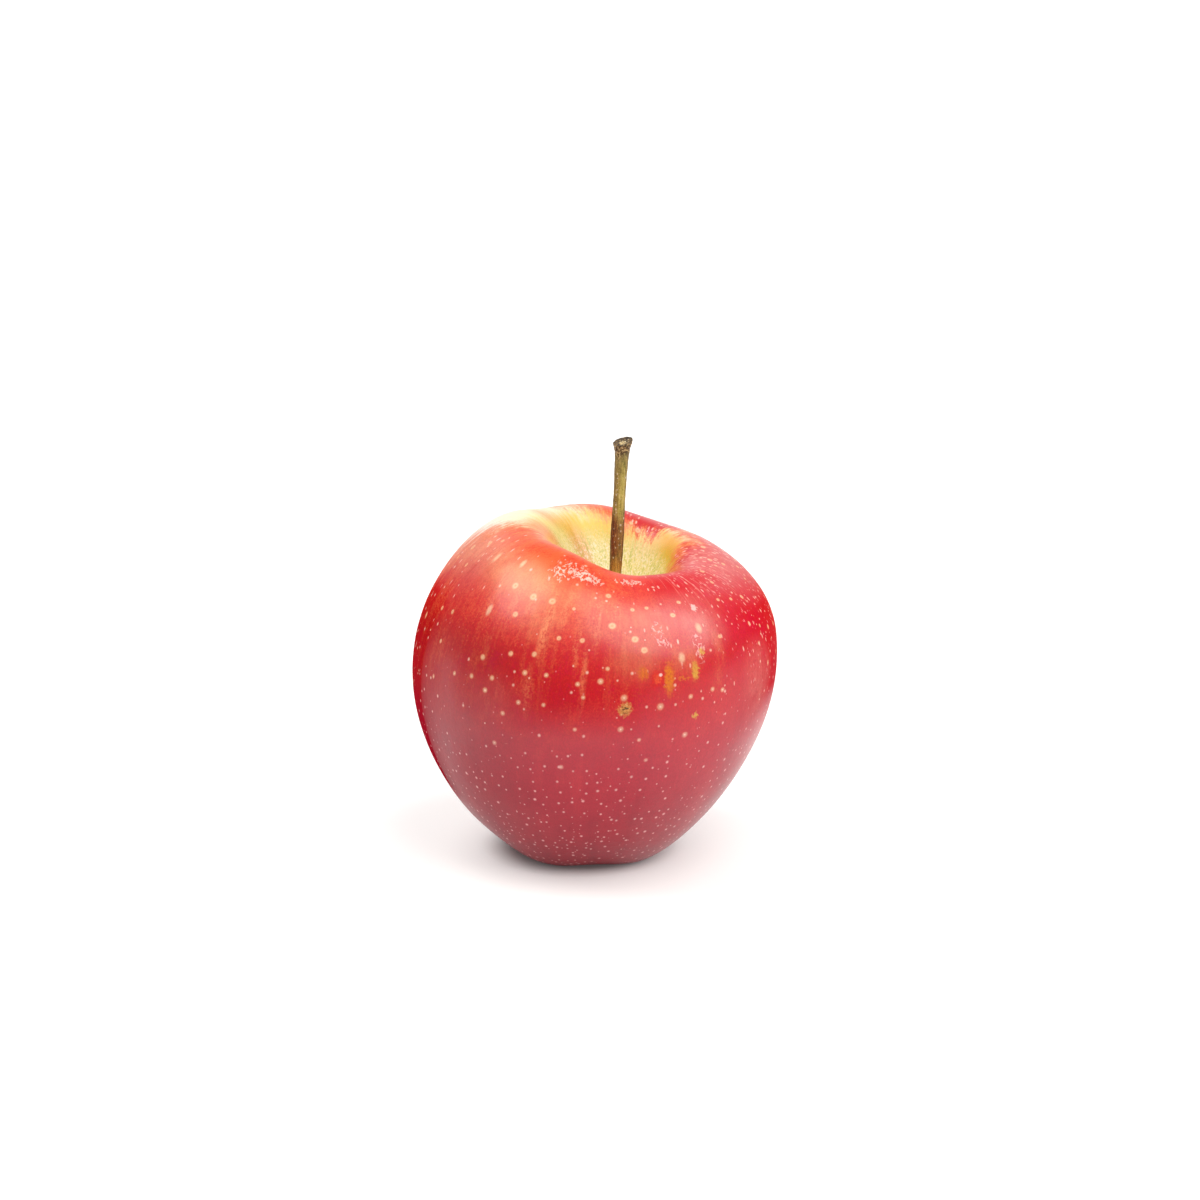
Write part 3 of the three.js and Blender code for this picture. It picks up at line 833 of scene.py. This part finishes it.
def skin_material():
    s = Skin()
    base = streak_red(s, red_ground(s))
    base = base.tint(s.step(s.into, -0.075, -0.005), "#e8743a")
    base = base.tint(s.step(s.into, -0.03, 0.035), cavity_yellow(s))
    uneven = s.clamp(0.5 + s.thin * 1.5 + s.grain)
    base = base.tint(s.basin * 0.85, s.ramp(uneven, [(0.2, "#b9a04a"), (0.6, "#c9b65c"), (0.9, "#a98a4a")]))
    base, lenticel_height = add_lenticels(s, base)
    base, scar, russet = add_marks(s, base)
    fine_mottle = s.clamp(s.streaky(0.6, 0.3, 3, 0.7, seed=10) * 2 - 0.5)
    base = base.tint(0.5, s.mix(fine_mottle, colour("#969696"), colour("#ffffff")), "MULTIPLY")

    bloom = matt_bloom(s)
    bare = 1 - bloom
    gloss = bare * bare * 0.55 / (bare + 0.1)  # fades out evenly where the bloom is full
    s.set(Specular_IOR_Level=gloss, Coat_Weight=bare * COAT)
    roughness = 0.34 + s.cloud * 0.1 + s.grain * 0.1 + russet * 0.3 + scar * 0.15 + bloom * 0.12
    bumps = (s.noise(s.spot, 1.4, 2, 0.5, seed=11) - 0.5) * 0.032
    height = lenticel_height + s.grain * 0.011 + s.thin * 0.022 + scar * 0.05 + bumps
    return s.finish(base, s.clamp(roughness), height)


fruit.data.materials.append(skin_material())
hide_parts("fruit")
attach(fruit, "root")


# ======== Stalk ========

STALK_SIDES = 64
STALK_STEPS = 16
DISH_STEPS = (0.04, 0.12, 0.25, 0.4, 0.55, 0.7, 0.85)  # of the scar's dish, from its rim to its middle


def make_stalk():
    """The stalk's grid of points, from its foot to its rim and into the scar's dish."""
    section, share = spline(STALK_SECTION, STALK_STEPS)
    angle = ring_of(STALK_SIDES)
    r, height = section[:, :1], section[:, 1:]
    top = STALK_SECTION[-1][1]
    near_tip = smoothstep(height, SCAR["from"], top)
    reach = r * (1 + STALK_OVAL * np.cos(2 * angle))
    straight = stack(reach * np.cos(angle), reach * np.sin(angle), height)
    ridges = 0.035 * np.cos(5 * angle + 0.6 + height * 0.03) + 0.02 * np.cos(9 * angle + 2.1)
    lumps = rough(straight * [1, 1, 0.35], 0.1, 1.6, 5)
    lumps = lumps + rough(straight, 0.05, 0.7, 6) * (1 + 1.5 * near_tip)
    free = smoothstep(height, -1, 1)
    reach = reach + (ridges + lumps) * (0.15 + 0.85 * free)
    x, y = reach * np.cos(angle), reach * np.sin(angle)
    bent = (np.maximum(height, 0) / top) ** STALK_TIP["bend"]
    torn = rough(straight * [1, 1, 0], 0.16, 0.8, 7) * near_tip
    z = height + SCAR["slope"] * near_tip * (x + y) + torn
    grid = stack(x + STALK_TIP["x"] * bent, y + STALK_TIP["y"] * bent, z)
    rim = grid[-1]
    hub = rim.mean(axis=0) - [0, 0, SCAR["depth"]]
    dish = []
    for step in DISH_STEPS:
        ring = rim + (hub - rim) * step
        bumps = rough(ring, 0.16, 0.55, 8) * min(1, step * 5)
        dish.append(ring + stack(0, 0, bumps - 0.1 * min(1, step * 4)))
    return np.concatenate([grid, dish]) + [TOP_LEAN["x"], TOP_LEAN["y"], CAVITY_FLOOR]


def stalk_material():
    s = Shader("stalk_bark", Specular_IOR_Level=0.35)
    along, turn = s.uv("bark")
    inward, _ = s.uv("scar")
    place = s.place()
    fibre = s.noise(s.stretch(place, (1, 1, 0.14)), 0.35, 4, 0.65, seed=1) - 0.5
    blotch = s.noise(s.stretch(place, (1, 1, 0.5)), 1.5, 3, 0.6, seed=2) - 0.5
    grit = s.noise(place, 0.22, 3, 0.7, seed=5) - 0.5
    lump = s.noise(place, 0.5, 3, 0.7, seed=6) - 0.5
    shade = s.clamp(fibre * 1.1 + blotch * 0.6 + grit * 0.9 + 0.47)
    base = s.ramp(shade, [(0.2, "#51421f"), (0.42, "#93783c"), (0.6, "#b59a52"), (0.85, "#d3bd7a")])
    # Lighter olive-yellow on the front right, the side towards the right softbox: partly the stalk's own
    # olive and partly painted light.
    olive_and_painted_light = s.band(turn + blotch * 0.1, 0.83, 0.22)
    ruddy = s.band(along + blotch * 0.16, 0.43, 0.13, 0.05) * (1 - olive_and_painted_light * 0.3)
    tawny = s.band(along + blotch * 0.05, 0.325, 0.05)
    foot = s.step(along, 0.3, 0.25)
    dusk = s.step(along + blotch * 0.2, 0.6, 0.8)
    # Darker towards the sides and the back, away from the front: painted shade at the stalk's edges.
    painted_side_shade = s.step(s.math("ABSOLUTE", turn - 0.75) + fibre * 0.12, 0.09, 0.25)
    for factor, stops in (
        (olive_and_painted_light * 0.85, [(0.2, "#7a742c"), (0.45, "#b9a951"), (0.8, "#dccb80")]),
        (ruddy, [(0.25, "#3a1c18"), (0.5, "#7d3e22"), (0.8, "#c08448")]),
        (tawny * 0.7, [(0.25, "#7a4518"), (0.6, "#b8772c"), (0.85, "#d39c4c")]),
        (foot * 0.7, [(0.2, "#6d6426"), (0.8, "#aaa04e")]),
        (dusk * 0.5, [(0.3, "#3d3320"), (0.7, "#8d7c40")]),
        (painted_side_shade * 0.7, [(0.3, "#2c2114"), (0.7, "#80673a")]),
    ):
        base = base.tint(factor, s.ramp(shade, stops))
    crust = s.step(along + blotch * 0.16 + grit * 0.2, 0.76, 0.86)
    crusty = s.ramp(lump * 0.8 + grit * 0.2 + 0.5, [(0.4, "#1f1611"), (0.5, "#5e4528"), (0.6, "#c8ac78")])
    base = base.tint(crust * 0.92, crusty)
    away, _, (chance, size, _) = s.cells(s.stretch(place, (1, 1, 0.8)), 0.55, seed=3)
    dot = s.step(away / (0.09 + size * 0.13), 1.2, 0.6) * s.math("LESS_THAN", chance, 0.15 + ruddy * 0.3)
    line = s.band(turn, 0.655, 0.06) * s.band(along, 0.55, 0.3)
    dot_in_line = s.step(s.step(away / (0.1 + size * 0.13), 1.2, 0.6) * line, 0.1, 0.5)
    dot = s.highest(dot, dot_in_line)
    base = base.tint(dot * 0.75, "#ddccb0")
    wood = s.noise(place, 0.5, 3, 0.6, seed=4)
    wood = s.ramp(wood, [(0.35, "#4a3722"), (0.5, "#b89f6c"), (0.65, "#efe2ba")])
    ring = s.ramp(lump + 0.5, [(0.4, "#251b14"), (0.6, "#6e5636")])
    wood = wood.tint(s.step(inward + lump * 1.6, 0.9, 0.6), ring)
    base = base.tint(s.step(inward, 0.02, 0.1), wood)
    height = fibre * 0.14 + dot * 0.04 + blotch * 0.06 + grit * 0.07
    return s.finish(base, s.clamp(0.6 + fibre * 0.4), height)


stalk_grid = make_stalk()
rim_row = len(stalk_grid) - 1 - len(DISH_STEPS)
stalk = closed_mesh("stalk_bark", [stalk_grid], {
    "bark": lambda row, column: stack(np.minimum(row / rim_row, 1), column / STALK_SIDES),
    "scar": lambda row, column: stack(np.clip((row - rim_row) / len(DISH_STEPS), 0, 1), 0),
})
stalk.data.materials.append(stalk_material())
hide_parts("stalk")
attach(stalk, "root")


# ======== Calyx ========

SEPAL = {"half_width": 1.5, "tip_share": 0.12, "thickness": 0.3, "cupping": 0.42, "sides": 40, "steps": 9}
CUP = {"sides": 60, "steps": 8, "map_rows": 100}  # of which it fills a third, with a blade's first colours
# Threads in the cup: how many, their ring's radius, their least and greatest length, and if with anthers.
STAMENS = {"count": 19, "ring": 1.15, "length": (1.6, 2.6), "anther": True}
STYLES = {"count": 5, "ring": 0.3, "length": (2.2, 2.9), "anther": False}
THREAD_ROWS = 9
HAIRS = 620
HAIR_ROWS = 4
draw = np.random.default_rng(11)


def turned(points, angle):
    """Points turned about the Z axis."""
    return points @ np.array(Matrix.Rotation(angle, 3, "Z")).T


def make_sepal(number):
    """A withered, cupped blade that stands down out of the cup and curls outwards at its tip."""
    midrib, share = spline(SEPAL_MIDRIB, SEPAL["steps"])
    midrib[:, 0] *= 1 + SEPAL_VARIETY["reach"] * math.sin(2.4 * number) * share
    midrib[:, 1] += SEPAL_VARIETY["curl"] * math.cos(1.9 * number) * share
    along = np.gradient(midrib, axis=0)
    along /= np.linalg.norm(along, axis=1, keepdims=True)
    angle = ring_of(SEPAL["sides"])
    side = np.cos(angle)[None]
    share = share[:, None]
    taper = 1 + (SEPAL["tip_share"] - 1) * smoothstep(share, 0.2, 1) ** 1.2
    flat = stack(side * 1.5, share * 6, number * 9)  # the blade spread out, for its noise
    ragged = 1 + rough(flat * [0.6, 1, 1], 0.16, 0.55, 11) * smoothstep(share, 0.25, 0.5)
    half_width = SEPAL["half_width"] * taper * ragged
    wrinkles = rough(flat, 0.16, 0.8, 12) + rough(flat * [2.2, 0.35, 1], 0.08, 0.5, 13)
    wrinkles = wrinkles * smoothstep(share, 0.1, 0.5)
    edge_roll = 0.35 * np.abs(side) ** 4 * smoothstep(share, 0.35, 0.9) * taper
    proud = SEPAL["thickness"] / 2 * np.sin(angle)[None] + SEPAL["cupping"] * side**2 * taper
    proud = proud + wrinkles + edge_roll
    twist = 0.5 * math.sin(3.1 * number + 1) * smoothstep(share, 0.5, 1)
    proud = proud + half_width * side * twist
    blade = stack(
        midrib[:, :1] - along[:, 1:] * proud,
        half_width * side + 0.3 * math.sin(5.3 * number) * smoothstep(share, 0.4, 1),
        midrib[:, 1:] + along[:, :1] * proud,
    )
    return turned(blade, number / SEPALS * TURN + math.radians(FOOT["bearing"]))


def make_cup():
    section, share = spline([(r * CUP_RADIUS, z + BASIN_FLOOR) for r, z in CUP_SECTION], CUP["steps"])
    angle = ring_of(CUP["sides"])
    cup = stack(section[:, :1] * np.cos(angle), section[:, :1] * np.sin(angle), section[:, 1:])
    lumps = rough(cup * [1, 1, 0.5], 0.12, 0.7, 14) * (1 - smoothstep(share, 0.6, 0.9))[:, None]
    return cup + lumps[..., None] * [0.4, 0.4, 1]


def thread(path, radii, sides):
    """A round thread along a path."""
    along = np.gradient(path, axis=0)
    along /= np.linalg.norm(along, axis=1, keepdims=True)
    helper = np.array([0.3, 1, 0.2]) if abs(along[0, 1]) < 0.9 else np.array([1, 0.3, 0.2])
    across = np.cross(along, helper)
    across /= np.linalg.norm(across, axis=1, keepdims=True)
    third = np.cross(along, across)
    angle = ring_of(sides)
    ring = across[:, None] * np.cos(angle)[None, :, None] + third[:, None] * np.sin(angle)[None, :, None]
    return path[:, None] + ring * np.array(radii)[:, None, None]


def make_filament(number, kind):
    """A withered stamen or style that hangs out of the cup."""
    length = draw.uniform(*kind["length"])
    angle = (number + draw.uniform(-0.3, 0.3)) / kind["count"] * TURN
    share = np.linspace(0, 1, THREAD_ROWS)
    spread = kind["ring"] + draw.uniform(-0.25, 0.45) * share
    spread = spread + draw.uniform(-0.2, 0.2) * np.sin(share * math.pi)
    sway = draw.uniform(-0.5, 0.5) * share**2 + draw.uniform(-0.12, 0.12) * np.sin(share * 2 * math.pi)
    path = stack(spread, sway, BASIN_FLOOR - 0.5 - share * length)
    radii = 0.075 - 0.02 * share
    if kind["anther"]:
        radii[-3:] = (0.12, 0.21, 0.12)
    return turned(thread(path, radii, sides=8), angle)


def make_hair(blade):
    """A short pale hair of the down, rooted in a sepal."""
    normal = outward(blade)
    row = draw.integers(4, blade.shape[0] - 1)
    column = draw.integers(0, blade.shape[1])
    root = blade[row, column]
    lean = normal[row, column] * draw.uniform(0.5, 1) + (blade[row] - blade[row - 1]).mean(axis=0) * 1.5
    lean += draw.normal(0, 0.35, 3)
    lean /= np.linalg.norm(lean)
    bend = draw.normal(0, 0.25, 3)
    share = np.linspace(0, 1, HAIR_ROWS)[:, None]
    path = root + (lean * share + bend * share**2) * draw.uniform(0.3, 0.75)
    return thread(path, 0.028 * (1 - 0.85 * share[:, 0]), sides=3)


def sepal_material():
    s = Shader("dry_sepal", Specular_IOR_Level=0.25)
    along, around_share = s.uv("blade")
    place = s.place()
    fibre = s.noise(s.vector(along * 3, around_share * 46, 0), 1, 4, 0.6, seed=1) - 0.5
    blotch = s.noise(place, 0.9, 3, 0.6, seed=2) - 0.5
    base = s.ramp(fibre * 0.55 + blotch * 0.5 + 0.525, [
        (0.25, "#3a2818"), (0.48, "#6b5032"), (0.66, "#8e7148"), (0.85, "#b39a6c")])
    base = base.tint(s.step(along, 0.62, 0.98) * 0.75, "#2d1f15")
    base = base.tint(s.step(along, 0.34, 0.08) * 0.55, "#8f8a52")
    bloom = s.step(s.noise(place, 0.25, 2, 0.6, seed=3), 0.5, 0.7)
    base = base.tint(bloom * 0.35, "#c3b595")
    return s.finish(base, s.clamp(0.75 + blotch * 0.4), fibre * 0.09 + blotch * 0.06)


def thread_material(name, dark, pale):
    s = Shader(name, Specular_IOR_Level=0.25, Roughness=0.7)
    along, _ = s.uv("blade")
    patchy = s.noise(s.place(), 0.5, 3, 0.6, seed=1)
    base = s.ramp(s.clamp(patchy * 0.7 + (1 - along) * 0.3), [(0.3, dark), (0.7, pale)])
    return s.finish(base, s.clamp(0.7 + (patchy - 0.5) * 0.3), patchy * 0.03)


def blade_map(rows):
    return {"blade": lambda row, column: stack(row / (rows - 1), column / SEPAL["sides"])}


sepals = [make_sepal(number) for number in range(SEPALS)]
filaments = [make_filament(number, kind) for kind in (STAMENS, STYLES) for number in range(kind["count"])]
hairs = [make_hair(sepals[number % SEPALS]) for number in range(HAIRS)]
dry = sepal_material()
calyx_parts = []
for name, grids, map_rows, material in (
    ("sepals", sepals, len(sepals[0]), dry),
    ("cup", [make_cup()], CUP["map_rows"], dry),
    ("stamens", filaments, THREAD_ROWS, thread_material("withered_stamen", "#2e2013", "#8a6f48")),
    ("down", hairs, HAIR_ROWS, thread_material("pale_down", "#b3a68c", "#e6dcc6")),
):
    part = closed_mesh(name, grids, blade_map(map_rows))
    part.data.materials.append(material)
    calyx_parts.append(part)
calyx = join("calyx_sepals", calyx_parts)
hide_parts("calyx")
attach(calyx, "root")


# ======== Studio ========


def make_camera():
    data = bpy.data.cameras.new("camera")
    data.sensor_width = SENSOR
    data.lens = SENSOR * CAMERA["focal_px"] / IMAGE_SIDE
    data.clip_end = 50
    camera = put("camera", data)
    tilt = math.radians(CAMERA["elevation"])
    target = Vector(to_row(CAMERA["target"]))
    away = Vector((0, -math.cos(tilt), math.sin(tilt))) * CAMERA["distance"] / 1000
    camera.matrix_world = Matrix.Translation(target + away) @ Matrix.Rotation(math.pi / 2 - tilt, 4, "X")
    bpy.context.scene.camera = camera


def stage_piece(s, name, points, faces, tones, light):
    """A plain piece of the studio, with a faint pattern of two tones and a light of its own."""
    mesh = bpy.data.meshes.new(name)
    mesh.from_pydata(points, [], faces)
    piece = put(name, mesh)
    s.set(Base_Color=s.ramp(s.noise(s.place(), TONE_SIZE, 2), tones), Emission_Strength=light)
    piece.data.materials.append(s.material)
    return piece


def square(half_side, z):
    return [(x * half_side, y * half_side, z) for x, y in ((-1, -1), (1, -1), (1, 1), (-1, 1))]


def make_floor():
    s = Shader("floor_white", Roughness=0.6, Specular_IOR_Level=0.2)
    from_foot = s.distance(s.place(), FLOOR["foot"])
    # The glow fades round the apple's foot: a painted contact shadow.
    light = s.step(from_foot, *FLOOR["painted_shadow_radii"], FLOOR["painted_shadow_glow"], FLOOR["light"])
    tones = [(0.3, "#cccccb"), (0.7, "#d0d0cf")]
    stage_piece(s, "floor", square(FLOOR["half_side"], 0), [(0, 1, 2, 3)], tones, light)


def make_wall():
    """A white wall round the floor, which the camera sees and the apple doesn't."""
    s = Shader("wall_white", Roughness=0.9, Specular_IOR_Level=0, Emission_Color=(1, 1, 1, 1))
    points = square(WALL["half_side"], 0) + square(WALL["half_side"], WALL["top"])
    faces = [(n, (n + 1) % 4, (n + 1) % 4 + 4, n + 4) for n in range(4)]
    wall = stage_piece(s, "wall", points, faces, [(0.3, "#f2f2f1"), (0.7, "#f6f6f5")], WALL["light"])
    wall.visible_diffuse = wall.visible_glossy = wall.visible_transmission = wall.visible_shadow = False


def make_world():
    """A room that is dark in front, and bright behind and overhead."""
    world = bpy.data.worlds.new("studio")
    world.use_nodes = True
    bpy.context.scene.world = world
    s = Nodes(world.node_tree)
    _, y, z = s.split(s.node("TexCoord", {}, "Generated"))
    behind = y / s.highest(s.math("SQRT", 1 - z * z), 0.01)
    backdrop = s.step(behind, *BACKDROP["edge"], 0, BACKDROP["light"]) * s.step(z, *BACKDROP["top"], 1, 0)
    ceiling = s.step(z, *CEILING["edge"], ROOM, CEILING["light"])
    background = s.tree.nodes["Background"]
    s.feed(background.inputs["Strength"], backdrop + ceiling)
    background.inputs["Color"].default_value = (1, 1, 1, 1)


def make_softbox(name, elevation, bearing, width, light):
    """A round softbox so far away that it lights everything alike. Its width is an angle."""
    data = bpy.data.lights.new(name, "SUN")
    data.angle = math.radians(width)
    data.color = LAMP_TINT
    data.energy = light * math.pi * math.sin(data.angle / 2) ** 2
    softbox = put(name, data)
    up, turn = math.radians(elevation), math.radians(bearing)
    towards = Vector((math.cos(up) * math.cos(turn), math.cos(up) * math.sin(turn), math.sin(up)))
    softbox.rotation_euler = towards.to_track_quat("Z", "Y").to_euler()


make_camera()
make_floor()
make_wall()
make_world()
for name, *settings in SOFTBOXES:
    make_softbox(name, *settings)
bpy.context.scene.view_settings.view_transform = "Standard"
